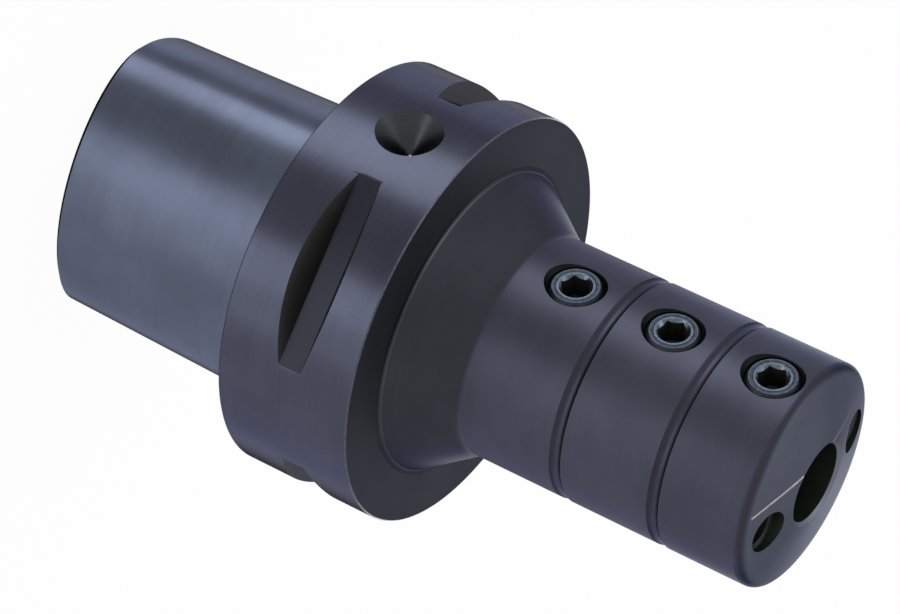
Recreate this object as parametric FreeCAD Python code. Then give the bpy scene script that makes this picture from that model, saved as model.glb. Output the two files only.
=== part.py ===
import FreeCAD, Part
import math
import os

# Modular tool holder: polygon taper shank, gripper flange, long nose with a side-locked tool bore.
# Millimetres and degrees. Z = 0 is the flange's contact plane and +Z points to the nose.
# +X points to the clamp screws, and the coolant holes lie on +Y and -Y.

# Polygon taper shank, ISO 26623 size 63
SHANK_MEAN_D = 44.0
SHANK_ECCENTRICITY = 1.4
SHANK_LENGTH = 38.0
SHANK_TAPER = 0.05
SHANK_END_CHAMFER = 0.8
SHANK_CURVE_POINTS = 72

# Flange, with four gripper slots and one orientation dimple
FLANGE_D = 63.0
FLANGE_WIDTH = 22.0
FLANGE_EDGE_BREAK = 0.2
SLOT_COUNT = 4
SLOT_FIRST_ANGLE = 45.0
SLOT_CENTRE_Z = 11.7
SLOT_DEPTH = 3.5
SLOT_FLOOR_WIDTH = 3.7
SLOT_FLANK_ANGLE = 30.0
DIMPLE_D = 10.0
DIMPLE_CONE_ANGLE = 90.0
DIMPLE_TIP_D = 0.5

# Neck and nose
NECK_BASE_D = 46.8
NECK_HALF_ANGLE = 35.0
NECK_ROOT_RADIUS = 1.2
NECK_TOP_RADIUS = 2.0
NOSE_D = 34.0
NOSE_REACH = 79.6
NOSE_RIM_RADIUS = 1.45
FACE_CONE_ANGLE = 11.0
GROOVE_WIDTH = 1.9
GROOVE_DEPTH = 0.45
GROOVE_AFTER_SCREW = 7.7
SETTING_LINE_OFFSET = 5.1
SETTING_LINE_WIDTH = 0.36
SETTING_LINE_DEPTH = 0.1
SETTING_LINE_MARGIN = 0.2

# Tool bore, back-stop thread and coolant duct
BORE_D = 12.0
BORE_MOUTH_CHAMFER = 0.45
BORE_DEPTH = 46.6
BORE_FLOOR_CHAMFER = 0.4
SEAL_BORE_STEP = 0.4
SEAL_BORE_DEPTH = 9.0
STOP_THREAD_D = 10.0
STOP_THREAD_START_Z = 11.0
STOP_SEAT_STEP = 1.0

# Rear cavity for the drawbar
DRAWBAR_BORE_D = 28.0
DRAWBAR_MOUTH_CHAMFER = 1.0
CAVITY_FLOOR_Z = -14.0
SEGMENT_GROOVE_DEPTH = 2.0
SEGMENT_GROOVE_WIDTH = 8.0
SEGMENT_GROOVE_TO_FLOOR = 5.0
CENTRE_THREAD_D = 17.8
CENTRE_THREAD_LENGTH = 18.0
CENTRE_THREAD_CHAMFER = 1.2
DRILL_POINT_ANGLE = 118.0

# Side clamp screws, in a row along the nose
CLAMP_SCREW_D = 8.0
CLAMP_SCREW_FROM_END = 8.0
CLAMP_SCREW_PITCH = 16.0
CLAMP_SCREW_NAMES = ("clamp_screw_rear", "clamp_screw_middle", "clamp_screw_front")
CLAMP_SCREW_RECESS = 0.4
CLAMP_TIP_CLEARANCE = 0.6
CLAMP_SOCKET_AF = 4.0
CLAMP_SOCKET_DEPTH = 4.0
CLAMP_END_CHAMFER = 0.7
CLAMP_CUP_D = 5.0
CLAMP_CUP_DEPTH = 0.8
CLAMP_COUNTERSINK_D = 9.3

# Coolant holes in the nose face, each closed by a plug
COOLANT_MOUTH_D = 6.4
COOLANT_MOUTH_DEPTH = 1.5
COOLANT_PLUG_D = 5.0
COOLANT_PLUG_LENGTH = 6.0
COOLANT_PLUG_RECESS = 0.9
COOLANT_PLUG_TRAVEL_IN = 1.1
COOLANT_SOCKET_AF = 2.5
COOLANT_SOCKET_DEPTH = 2.5
COOLANT_DUCT_D = 3.6
COOLANT_PLUG_SIDES = (("coolant_plug_left", 1), ("coolant_plug_right", -1))

# Cross gallery that feeds the coolant holes, drilled from -Y and plugged
GALLERY_D = 4.0
GALLERY_BELOW_STOP_THREAD = 0.5
GALLERY_RUN_OUT = 0.5
GALLERY_PLUG_D = 8.0
GALLERY_PLUG_LENGTH = 7.0
GALLERY_PLUG_RECESS = 1.0
GALLERY_PLUG_TRAVEL_IN = 1.0
GALLERY_COUNTERSINK_D = 9.0

# Back-stop screw and its seal
STOP_STEM_CLEARANCE = 4.0
STOP_HEAD_GAP = 0.15
STOP_HEAD_LENGTH = 6.0
STOP_HEAD_RECESS = 0.4
STOP_CHAMFER = 0.5
STOP_SOCKET_AF = 4.0
STOP_SOCKET_DEPTH = 4.0
STOP_COOLANT_D = 3.0
SEAL_SECTION_D = 1.4
SEAL_SIDE_GAP = 0.25
SEAL_GROOVE_FROM_SHOULDER = 1.5

# Radial gap of every threaded or sliding fit, and how far cutting bodies overshoot
RUNNING_GAP = 0.05
OVERSHOOT = 1.0

FLANGE_R = FLANGE_D / 2
NOSE_R = NOSE_D / 2
BORE_R = BORE_D / 2
MOUTH_R = BORE_R + BORE_MOUTH_CHAMFER
NECK_BASE_R = NECK_BASE_D / 2
BORE_FLOOR_Z = NOSE_REACH - BORE_DEPTH
STOP_THREAD_R = STOP_THREAD_D / 2
SEAL_BORE_R = STOP_THREAD_R + SEAL_BORE_STEP
SEAL_R = SEAL_BORE_R - RUNNING_GAP - SEAL_SECTION_D / 2
STOP_FRONT_Z = BORE_FLOOR_Z - STOP_HEAD_RECESS
STOP_SHOULDER_Z = STOP_FRONT_Z - STOP_HEAD_LENGTH
SEAL_GROOVE_WIDTH = SEAL_SECTION_D + 2 * SEAL_SIDE_GAP
SEAL_GROOVE_Z = STOP_SHOULDER_Z + SEAL_GROOVE_FROM_SHOULDER
COOLANT_HOLE_R = (BORE_R + NOSE_R) / 2
GALLERY_Z = STOP_THREAD_START_Z - GALLERY_BELOW_STOP_THREAD - GALLERY_D / 2
FIRST_SCREW_Z = NOSE_REACH - CLAMP_SCREW_FROM_END - (len(CLAMP_SCREW_NAMES) - 1) * CLAMP_SCREW_PITCH
CLAMP_SCREW_LENGTH = NOSE_R - CLAMP_SCREW_RECESS - BORE_R - CLAMP_TIP_CLEARANCE
X_AXIS = FreeCAD.Vector(1, 0, 0)
Y_AXIS = FreeCAD.Vector(0, 1, 0)
Z_AXIS = FreeCAD.Vector(0, 0, 1)
ORIGIN = FreeCAD.Vector(0, 0, 0)


def tan(degrees):
    return math.tan(math.radians(degrees))


def face_z(radius):
    """Height of the nose's slightly conical front face at a distance from the axis."""
    return NOSE_REACH - (radius - MOUTH_R) * tan(FACE_CONE_ANGLE)


def rounded_corner(before, corner, after, radius):
    """End points and middle of the tangent arc that rounds one corner of a profile."""
    to_before = (before - corner).normalize()
    to_after = (after - corner).normalize()
    half = to_before.getAngle(to_after) / 2
    start = corner + to_before * (radius / math.tan(half))
    end = corner + to_after * (radius / math.tan(half))
    inward = (to_before + to_after).normalize()
    middle = corner + inward * (radius / math.sin(half) - radius)
    return start, middle, end


def revolved(profile):
    """Solid of revolution about Z from (radius, z) points, some with a rounding radius."""
    corners = [FreeCAD.Vector(point[0], 0, point[1]) for point in profile]
    roundings = [point[2] if len(point) > 2 else 0 for point in profile]
    edges = []
    count = len(corners)
    starts = list(corners)
    ends = list(corners)
    arcs = {}
    for index in range(count):
        if roundings[index]:
            arc = rounded_corner(corners[index - 1], corners[index],
                                 corners[(index + 1) % count], roundings[index])
            starts[index], ends[index] = arc[0], arc[2]
            arcs[index] = Part.Arc(*arc).toShape()
    for index in range(count):
        if index in arcs:
            edges.append(arcs[index])
        following = (index + 1) % count
        edges.append(Part.makeLine(ends[index], starts[following]))
    face = Part.Face(Part.Wire(edges))
    return face.revolve(ORIGIN, Z_AXIS, 360)


def polygon_wire(mean_d, eccentricity, z):
    """Closed three-lobed curve of the polygon taper, with one lobe toward +X."""
    points = []
    for index in range(SHANK_CURVE_POINTS):
        angle = 2 * math.pi * index / SHANK_CURVE_POINTS
        x = (mean_d / 2 * math.cos(angle) - 2 * eccentricity * math.cos(2 * angle)
             + eccentricity * math.cos(4 * angle))
        y = (mean_d / 2 * math.sin(angle) + 2 * eccentricity * math.sin(2 * angle)
             + eccentricity * math.sin(4 * angle))
        points.append(FreeCAD.Vector(-x, -y, z))
    curve = Part.BSplineCurve()
    curve.interpolate(Points=points, PeriodicFlag=True)
    return Part.Wire(curve.toShape())


def shank():
    """Polygon taper from the flange to the chamfered rear end."""
    chamfer_z = -(SHANK_LENGTH - SHANK_END_CHAMFER)
    chamfer_mean_d = SHANK_MEAN_D + chamfer_z * SHANK_TAPER
    end_mean_d = chamfer_mean_d - 2 * SHANK_END_CHAMFER
    top = polygon_wire(SHANK_MEAN_D, SHANK_ECCENTRICITY, 0)
    shoulder = polygon_wire(chamfer_mean_d, SHANK_ECCENTRICITY, chamfer_z)
    end = polygon_wire(end_mean_d, SHANK_ECCENTRICITY, -SHANK_LENGTH)
    taper = Part.makeLoft([shoulder, top], True, True)
    chamfer = Part.makeLoft([end, shoulder], True, True)
    return taper.fuse(chamfer)


def flange_and_nose():
    """Turned outer form in front of the contact plane."""
    neck_top_z = FLANGE_WIDTH + (NECK_BASE_R - NOSE_R) / tan(NECK_HALF_ANGLE)
    return revolved([
        (0, 0),
        (FLANGE_R - FLANGE_EDGE_BREAK, 0),
        (FLANGE_R, FLANGE_EDGE_BREAK),
        (FLANGE_R, FLANGE_WIDTH - FLANGE_EDGE_BREAK),
        (FLANGE_R - FLANGE_EDGE_BREAK, FLANGE_WIDTH),
        (NECK_BASE_R, FLANGE_WIDTH, NECK_ROOT_RADIUS),
        (NOSE_R, neck_top_z, NECK_TOP_RADIUS),
        (NOSE_R, face_z(NOSE_R), NOSE_RIM_RADIUS),
        (MOUTH_R, NOSE_REACH),
        (0, NOSE_REACH),
    ])


def centre_cavity():
    """Everything bored on the axis, from the drawbar mouth to the tool bore."""
    drawbar_r = DRAWBAR_BORE_D / 2
    groove_end = CAVITY_FLOOR_Z - SEGMENT_GROOVE_TO_FLOOR
    groove_start = groove_end - SEGMENT_GROOVE_WIDTH
    groove_r = drawbar_r + SEGMENT_GROOVE_DEPTH
    thread_r = CENTRE_THREAD_D / 2
    thread_end = CAVITY_FLOOR_Z + CENTRE_THREAD_LENGTH
    duct_r = STOP_THREAD_R - STOP_SEAT_STEP
    point_height = (thread_r - duct_r) / tan(DRILL_POINT_ANGLE / 2)
    seal_bore_start = BORE_FLOOR_Z - SEAL_BORE_DEPTH
    return revolved([
        (0, -SHANK_LENGTH - OVERSHOOT),
        (drawbar_r + DRAWBAR_MOUTH_CHAMFER + OVERSHOOT, -SHANK_LENGTH - OVERSHOOT),
        (drawbar_r, -SHANK_LENGTH + DRAWBAR_MOUTH_CHAMFER),
        (drawbar_r, groove_start),
        (groove_r, groove_start + SEGMENT_GROOVE_DEPTH),
        (groove_r, groove_end - SEGMENT_GROOVE_DEPTH),
        (drawbar_r, groove_end),
        (drawbar_r, CAVITY_FLOOR_Z),
        (thread_r + CENTRE_THREAD_CHAMFER, CAVITY_FLOOR_Z),
        (thread_r, CAVITY_FLOOR_Z + CENTRE_THREAD_CHAMFER),
        (thread_r, thread_end),
        (duct_r, thread_end + point_height),
        (duct_r, STOP_THREAD_START_Z),
        (STOP_THREAD_R, STOP_THREAD_START_Z),
        (STOP_THREAD_R, seal_bore_start),
        (SEAL_BORE_R, seal_bore_start),
        (SEAL_BORE_R, BORE_FLOOR_Z - BORE_FLOOR_CHAMFER),
        (SEAL_BORE_R + BORE_FLOOR_CHAMFER / 2, BORE_FLOOR_Z),
        (BORE_R, BORE_FLOOR_Z),
        (BORE_R, NOSE_REACH - BORE_MOUTH_CHAMFER),
        (MOUTH_R + OVERSHOOT, NOSE_REACH + OVERSHOOT),
        (0, NOSE_REACH + OVERSHOOT),
    ])


def gripper_slot(angle):
    """Straight slot with a flat floor and sloping flanks, cut across the flange's rim."""
    floor = FLANGE_R - SLOT_DEPTH
    outside = FLANGE_R + OVERSHOOT
    floor_half = SLOT_FLOOR_WIDTH / 2
    outside_half = floor_half + (outside - floor) * tan(SLOT_FLANK_ANGLE)
    section = [(floor, -floor_half), (outside, -outside_half),
               (outside, outside_half), (floor, floor_half)]
    points = [FreeCAD.Vector(x, -FLANGE_R, SLOT_CENTRE_Z + z) for x, z in section]
    face = Part.Face(Part.makePolygon(points + points[:1]))
    slot = face.extrude(Y_AXIS * FLANGE_D)
    slot.rotate(ORIGIN, Z_AXIS, angle)
    return slot


def orientation_dimple():
    """Conical spot in the rim, in line with the clamp screws."""
    slope = tan(DIMPLE_CONE_ANGLE / 2)
    tip_r = DIMPLE_TIP_D / 2
    depth = (DIMPLE_D / 2 - tip_r) / slope
    reach = depth + OVERSHOOT
    tip = FreeCAD.Vector(FLANGE_R - depth, 0, SLOT_CENTRE_Z)
    return Part.makeCone(tip_r, tip_r + reach * slope, reach, tip, X_AXIS)


def nose_grooves():
    """Two shallow round-bottomed rings between the clamp screws."""
    radius = ((GROOVE_WIDTH / 2) ** 2 + GROOVE_DEPTH ** 2) / (2 * GROOVE_DEPTH)
    centre_r = NOSE_R - GROOVE_DEPTH + radius
    screws_behind = list(clamp_screw_positions().values())[:-1]
    return [Part.makeTorus(centre_r, radius, FreeCAD.Vector(0, 0, position.z + GROOVE_AFTER_SCREW))
            for position in screws_behind]


def setting_line():
    """Engraved chord across the nose face, parallel to the row of coolant holes."""
    inner_r = MOUTH_R
    outer_r = NOSE_R - NOSE_RIM_RADIUS + SETTING_LINE_MARGIN
    skin = revolved([
        (inner_r, face_z(inner_r) - SETTING_LINE_DEPTH),
        (outer_r, face_z(outer_r) - SETTING_LINE_DEPTH),
        (outer_r, face_z(outer_r) + OVERSHOOT),
        (inner_r, face_z(inner_r) + OVERSHOOT),
    ])
    corner = FreeCAD.Vector(SETTING_LINE_OFFSET - SETTING_LINE_WIDTH / 2, -NOSE_R,
                            NOSE_REACH - NOSE_R)
    return skin.common(Part.makeBox(SETTING_LINE_WIDTH, NOSE_D, NOSE_D, corner))


def countersunk_hole(diameter, depth, countersink_d, open_height):
    """Hole below Z = 0 with a 45 degree countersink, open above it."""
    radius = diameter / 2
    countersink_r = countersink_d / 2
    return revolved([
        (0, -depth),
        (radius, -depth),
        (radius, radius - countersink_r),
        (countersink_r, 0),
        (countersink_r, open_height),
        (0, open_height),
    ])


def turned_to(shape, direction, position):
    """Shape moved so that its own Z axis points along a direction at a position."""
    moved = shape.copy()
    moved.Placement = FreeCAD.Placement(position, FreeCAD.Rotation(Z_AXIS, direction))
    return moved


def clamp_screw_positions():
    """Point on the nose surface above each clamp screw."""
    return {name: FreeCAD.Vector(NOSE_R, 0, FIRST_SCREW_Z + index * CLAMP_SCREW_PITCH)
            for index, name in enumerate(CLAMP_SCREW_NAMES)}


def clamp_screw_holes():
    hole = countersunk_hole(CLAMP_SCREW_D, NOSE_R, CLAMP_COUNTERSINK_D, NECK_BASE_R - NOSE_R)
    return [turned_to(hole, X_AXIS, position) for position in clamp_screw_positions().values()]


def coolant_ledge_z():
    """Height of the ledge between a coolant hole's wide mouth and its thread."""
    return face_z(COOLANT_HOLE_R) - COOLANT_MOUTH_DEPTH


def coolant_hole(side):
    """Stepped hole from the nose face down to the cross gallery."""
    centre = FreeCAD.Vector(0, side * COOLANT_HOLE_R, 0)
    ledge = coolant_ledge_z()
    thread_end = ledge - COOLANT_PLUG_RECESS - COOLANT_PLUG_LENGTH - COOLANT_PLUG_TRAVEL_IN
    steps = ((COOLANT_MOUTH_D, ledge, NOSE_REACH + OVERSHOOT),
             (COOLANT_PLUG_D, thread_end, ledge),
             (COOLANT_DUCT_D, GALLERY_Z, thread_end))
    cylinders = [Part.makeCylinder(diameter / 2, high - low, centre + Z_AXIS * low)
                 for diameter, low, high in steps]
    return cylinders[0].fuse(cylinders[1:])


def gallery():
    """Cross hole through the coolant duct, threaded at the rim for its plug."""
    length = FLANGE_R + COOLANT_HOLE_R + COOLANT_DUCT_D / 2 + GALLERY_RUN_OUT
    start = FreeCAD.Vector(0, -FLANGE_R, GALLERY_Z)
    duct = Part.makeCylinder(GALLERY_D / 2, length, start, Y_AXIS)
    thread_length = GALLERY_PLUG_RECESS + GALLERY_PLUG_LENGTH + GALLERY_PLUG_TRAVEL_IN
    thread = countersunk_hole(GALLERY_PLUG_D, thread_length, GALLERY_COUNTERSINK_D, OVERSHOOT)
    return [duct, turned_to(thread, -Y_AXIS, start)]


def holder_body():
    solid = flange_and_nose().fuse(shank())
    cuts = [centre_cavity(), orientation_dimple(), setting_line()]
    cuts += [gripper_slot(SLOT_FIRST_ANGLE + index * 360 / SLOT_COUNT) for index in range(SLOT_COUNT)]
    cuts += nose_grooves()
    cuts += clamp_screw_holes()
    cuts += [coolant_hole(side) for name, side in COOLANT_PLUG_SIDES]
    cuts += gallery()
    for cut in cuts:
        solid = solid.cut(cut)
    return solid


def hex_prism(across_flats, depth):
    """Hexagonal socket below Z = 0."""
    corner_r = across_flats / 2 / math.cos(math.pi / 6)
    points = [FreeCAD.Vector(corner_r * math.cos(math.pi * index / 3),
                             corner_r * math.sin(math.pi * index / 3), -depth)
              for index in range(6)]
    return Part.Face(Part.makePolygon(points + points[:1])).extrude(Z_AXIS * (depth + OVERSHOOT))


def socket_lead_in(across_flats):
    """Short cone that breaks the corners of a hexagonal socket's mouth."""
    corner_r = across_flats / 2 / math.cos(math.pi / 6)
    return Part.makeCone(across_flats / 2, corner_r + OVERSHOOT, corner_r + OVERSHOOT - across_flats / 2,
                         FreeCAD.Vector(0, 0, across_flats / 2 - corner_r))


def set_screw(diameter, length, socket_af, socket_depth, chamfer, cup_d, cup_depth):
    """Headless socket screw below Z = 0, with its socket up and its cup point down."""
    radius = diameter / 2 - RUNNING_GAP
    screw = revolved([
        (0, -length + cup_depth),
        (cup_d / 2, -length),
        (radius - chamfer, -length),
        (radius, -length + chamfer),
        (radius, -chamfer),
        (radius - chamfer, 0),
        (0, 0),
    ])
    return screw.cut(hex_prism(socket_af, socket_depth)).cut(socket_lead_in(socket_af))


def clamp_screws():
    screw = set_screw(CLAMP_SCREW_D, CLAMP_SCREW_LENGTH, CLAMP_SOCKET_AF, CLAMP_SOCKET_DEPTH,
                      CLAMP_END_CHAMFER, CLAMP_CUP_D, CLAMP_CUP_DEPTH)
    return {name: turned_to(screw, X_AXIS, position - X_AXIS * CLAMP_SCREW_RECESS)
            for name, position in clamp_screw_positions().items()}


def coolant_plugs():
    plug = set_screw(COOLANT_PLUG_D, COOLANT_PLUG_LENGTH, COOLANT_SOCKET_AF, COOLANT_SOCKET_DEPTH,
                     STOP_CHAMFER, COOLANT_DUCT_D - 1, STOP_CHAMFER)
    top = coolant_ledge_z() - COOLANT_PLUG_RECESS
    return {name: turned_to(plug, Z_AXIS, FreeCAD.Vector(0, side * COOLANT_HOLE_R, top))
            for name, side in COOLANT_PLUG_SIDES}


def gallery_plug():
    plug = set_screw(GALLERY_PLUG_D, GALLERY_PLUG_LENGTH, CLAMP_SOCKET_AF, CLAMP_SOCKET_DEPTH,
                     CLAMP_END_CHAMFER, CLAMP_CUP_D, CLAMP_CUP_DEPTH)
    return turned_to(plug, -Y_AXIS, FreeCAD.Vector(0, -FLANGE_R + GALLERY_PLUG_RECESS, GALLERY_Z))


def stop_screw():
    """Back stop: threaded stem, sealed head, coolant hole and a socket at each end."""
    stem_r = STOP_THREAD_R - RUNNING_GAP
    head_r = SEAL_BORE_R - STOP_HEAD_GAP
    groove_r = SEAL_R - SEAL_SECTION_D / 2 - RUNNING_GAP
    rear_z = STOP_THREAD_START_Z + STOP_STEM_CLEARANCE
    hole_r = STOP_COOLANT_D / 2
    screw = revolved([
        (hole_r, rear_z),
        (stem_r - STOP_CHAMFER, rear_z),
        (stem_r, rear_z + STOP_CHAMFER),
        (stem_r, STOP_SHOULDER_Z),
        (head_r, STOP_SHOULDER_Z),
        (head_r, SEAL_GROOVE_Z),
        (groove_r, SEAL_GROOVE_Z),
        (groove_r, SEAL_GROOVE_Z + SEAL_GROOVE_WIDTH),
        (head_r, SEAL_GROOVE_Z + SEAL_GROOVE_WIDTH),
        (head_r, STOP_FRONT_Z - STOP_CHAMFER),
        (head_r - STOP_CHAMFER, STOP_FRONT_Z),
        (hole_r, STOP_FRONT_Z),
    ])
    socket = hex_prism(STOP_SOCKET_AF, STOP_SOCKET_DEPTH)
    front_socket = turned_to(socket, Z_AXIS, FreeCAD.Vector(0, 0, STOP_FRONT_Z))
    rear_socket = turned_to(socket, -Z_AXIS, FreeCAD.Vector(0, 0, rear_z))
    return screw.cut(front_socket).cut(rear_socket)


def stop_screw_seal():
    """Sealing ring in the back stop's groove, just clear of the seal bore."""
    middle = FreeCAD.Vector(0, 0, SEAL_GROOVE_Z + SEAL_GROOVE_WIDTH / 2)
    return Part.makeTorus(SEAL_R, SEAL_SECTION_D / 2, middle)


def build():
    nodes = {"holder_body": holder_body(), "gallery_plug": gallery_plug(),
             "stop_screw": stop_screw(), "stop_screw_seal": stop_screw_seal()}
    nodes.update(clamp_screws())
    nodes.update(coolant_plugs())
    return nodes


os.makedirs("parts", exist_ok=True)
for node_name, shape in build().items():
    if not shape.isValid() or len(shape.Solids) != 1:
        raise ValueError(node_name + " is not one valid solid")
    shape.Solids[0].exportStep("parts/" + node_name + ".step")
    print(node_name, "volume %.1f mm3" % shape.Volume, shape.BoundBox)
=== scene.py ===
import bmesh
import bpy
import math
import numpy as np
from mathutils import Matrix, Vector


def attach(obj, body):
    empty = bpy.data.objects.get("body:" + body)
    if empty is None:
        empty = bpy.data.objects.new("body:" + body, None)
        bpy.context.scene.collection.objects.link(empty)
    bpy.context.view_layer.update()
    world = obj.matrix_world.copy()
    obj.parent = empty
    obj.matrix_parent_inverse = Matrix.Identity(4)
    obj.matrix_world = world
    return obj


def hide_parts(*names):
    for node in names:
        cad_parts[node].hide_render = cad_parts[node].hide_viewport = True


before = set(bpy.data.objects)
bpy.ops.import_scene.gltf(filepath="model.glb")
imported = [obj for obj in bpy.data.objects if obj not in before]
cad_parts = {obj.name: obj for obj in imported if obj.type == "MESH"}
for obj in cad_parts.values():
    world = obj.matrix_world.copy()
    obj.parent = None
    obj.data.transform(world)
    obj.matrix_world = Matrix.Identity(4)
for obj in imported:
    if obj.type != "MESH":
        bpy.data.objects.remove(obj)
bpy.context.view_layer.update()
mm = 0.001
tau = 2 * math.pi


# what a user would change on the body, in millimetres and degrees, as the solids have it
bodySizes = {
    "segments": 360,
    "longestSpan": 3.0,
    "shortestEdge": 0.001,
    "arcSteps": 10,
    "flangeDiameter": 63.0,
    "flangeWidth": 22.0,
    "edgeBreak": 0.2,
    "shankMeanDiameter": 44.0,
    "shankEccentricity": 1.4,
    "shankLength": 38.0,
    "shankTaper": 0.05,
    "shankEndChamfer": 0.8,
    "shankRings": 14,
    "neckBaseDiameter": 46.8,
    "neckHalfAngle": 35.0,
    "neckRootRadius": 1.2,
    "neckTopRadius": 2.0,
    "rootShine": (0.55, 0.75),
    "neckTopShade": (0.0, 0.55),
    "noseDiameter": 34.0,
    "noseReach": 79.6,
    "rimRadius": 1.45,
    "faceConeAngle": 11.0,
    "grooveWidth": 1.9,
    "grooveDepth": 0.45,
    "grooveAfterScrew": 7.7,
    "boreDiameter": 12.0,
    "boreMouthChamfer": 0.45,
    "boreDepth": 46.6,
    "boreFloorChamfer": 0.4,
    "sealBoreStep": 0.4,
    "sealBoreDepth": 9.0,
    "stopThreadDiameter": 10.0,
    "stopThreadStart": 11.0,
    "stopSeatStep": 1.0,
    "drawbarBoreDiameter": 28.0,
    "drawbarMouthChamfer": 1.0,
    "cavityFloor": -14.0,
    "segmentGrooveDepth": 2.0,
    "segmentGrooveWidth": 8.0,
    "segmentGrooveToFloor": 5.0,
    "centreThreadDiameter": 17.8,
    "centreThreadLength": 18.0,
    "centreThreadChamfer": 1.2,
    "drillPointAngle": 118.0,
}
slotSizes = {"count": 4, "firstAngle": 45.0, "centre": 11.7, "depth": 3.5, "floorWidth": 3.7,
             "flankAngle": 30.0, "halfLength": 17.0, "outside": 1.0}
# tipGlint is how far up the dimple's cone the painted glint reaches
dimpleSizes = {"diameter": 10.0, "coneAngle": 90.0, "tipDiameter": 0.5, "tipGlint": 0.08, "outside": 1.0,
               "segments": 120}
clampHoleSizes = {"count": 3, "fromEnd": 8.0, "pitch": 16.0, "diameter": 8.0, "countersink": 9.3,
                  "outside": 6.4, "segments": 120}
coolantHoleSizes = {"mouthDiameter": 6.4, "mouthDepth": 1.5, "ledgeSlope": 0.3, "threadDiameter": 5.0,
                    "threadLength": 8.0, "ductDiameter": 3.6, "outside": 3.0, "segments": 96}
gallerySizes = {"diameter": 4.0, "height": 8.5, "runOut": 0.5, "threadDiameter": 8.0, "threadLength": 9.0,
                "countersink": 9.0, "outside": 1.0, "segments": 96}
lineSizes = {"offset": 5.1, "width": 0.36, "depth": 0.1, "rimMargin": 0.2, "steps": 120, "outside": 1.0}


# lengths that follow from them
def tanOf(degrees):
    return math.tan(math.radians(degrees))


def turnAngles(segments):
    return np.arange(segments) * tau / segments


flangeR = bodySizes["flangeDiameter"] / 2
noseR = bodySizes["noseDiameter"] / 2
boreR = bodySizes["boreDiameter"] / 2
mouthR = boreR + bodySizes["boreMouthChamfer"]
noseReach = bodySizes["noseReach"]
coolantR = (boreR + noseR) / 2
boreFloor = noseReach - bodySizes["boreDepth"]
screwHeights = [noseReach - clampHoleSizes["fromEnd"] - index * clampHoleSizes["pitch"]
                for index in reversed(range(clampHoleSizes["count"]))]
grooveHeights = [height + bodySizes["grooveAfterScrew"] for height in screwHeights[:-1]]


def faceHeight(radius):
    # the nose face is a flat cone that falls away from the mouth of the bore
    return noseReach - (radius - mouthR) * tanOf(bodySizes["faceConeAngle"])


# shader boards: sockets that can be added, multiplied and so on, and one way to make any other node
class Signal:
    def __init__(self, board, socket):
        self.board = board
        self.socket = socket

    def __add__(self, other):
        return self.board.math("ADD", self, other)

    def __sub__(self, other):
        return self.board.math("SUBTRACT", self, other)

    def __mul__(self, other):
        return self.board.math("MULTIPLY", self, other)

    def __truediv__(self, other):
        return self.board.math("DIVIDE", self, other)

    def __pow__(self, other):
        return self.board.math("POWER", self, other)

    def __radd__(self, other):
        return self.board.math("ADD", other, self)

    def __rsub__(self, other):
        return self.board.math("SUBTRACT", other, self)

    def __rmul__(self, other):
        return self.board.math("MULTIPLY", other, self)

    def __rtruediv__(self, other):
        return self.board.math("DIVIDE", other, self)


class Board:
    def __init__(self, tree):
        self.tree = tree
        tree.nodes.clear()

    def node(self, kind, settings=None, inputs=None, output=0):
        # settings come first, because some of them change the sockets
        made = self.tree.nodes.new(kind)
        for key, value in (settings or {}).items():
            setattr(made, key, value)
        for key, value in (inputs or {}).items():
            if isinstance(value, Signal):
                self.tree.links.new(value.socket, made.inputs[key])
            else:
                made.inputs[key].default_value = value
        if isinstance(output, tuple):
            return [Signal(self, made.outputs[name]) for name in output]
        return Signal(self, made.outputs[output]) if len(made.outputs) else None

    def math(self, operation, first, second=0.0):
        return self.node("ShaderNodeMath", {"operation": operation}, {0: first, 1: second})

    def larger(self, first, second):
        return self.math("MAXIMUM", first, second)

    def smooth(self, value, low, high):
        # a soft step from 0 to 1 while the value goes from low to high
        return self.node("ShaderNodeMapRange", {"interpolation_type": "SMOOTHSTEP"},
                         {"Value": value, "From Min": low, "From Max": high})

    def blendColour(self, factor, first, second):
        # the first colour where the factor is 0, the second where it is 1
        return self.node("ShaderNodeMix", {"data_type": "RGBA"}, {0: factor, 6: first, 7: second}, 2)

    def vector(self, x, y, z):
        return self.node("ShaderNodeCombineXYZ", None, {0: x, 1: y, 2: z})

    def noise(self, vector, scale, detail=3.0, roughness=0.55):
        return self.node("ShaderNodeTexNoise", None,
                         {"Vector": vector, "Scale": scale, "Detail": detail, "Roughness": roughness})

    def spot(self):
        # object coordinates in millimetres
        metres = self.node("ShaderNodeTexCoord", None, None, "Object")
        parts = self.node("ShaderNodeSeparateXYZ", None, {0: metres}, ("X", "Y", "Z"))
        return [part * (1 / mm) for part in parts]

    def bump(self, strength, depth, height):
        return self.node("ShaderNodeBump", None, {"Strength": strength, "Distance": depth, "Height": height})


def weighted(signals, shares):
    # each signal times its share, added up
    total = signals[0] * shares[0]
    for signal, share in zip(signals[1:], shares[1:]):
        total = total + signal * share
    return total


def rgba(red, green, blue):
    return (red, green, blue, 1.0)


def grey(level):
    return rgba(level, level, level)


def newMaterial(name):
    material = bpy.data.materials.new(name)
    material.use_nodes = True
    return material, Board(material.node_tree)


def finishMaterial(board, inputs):
    shader = board.node("ShaderNodeBsdfPrincipled", None, inputs)
    board.node("ShaderNodeOutputMaterial", None, {"Surface": shader})


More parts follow.
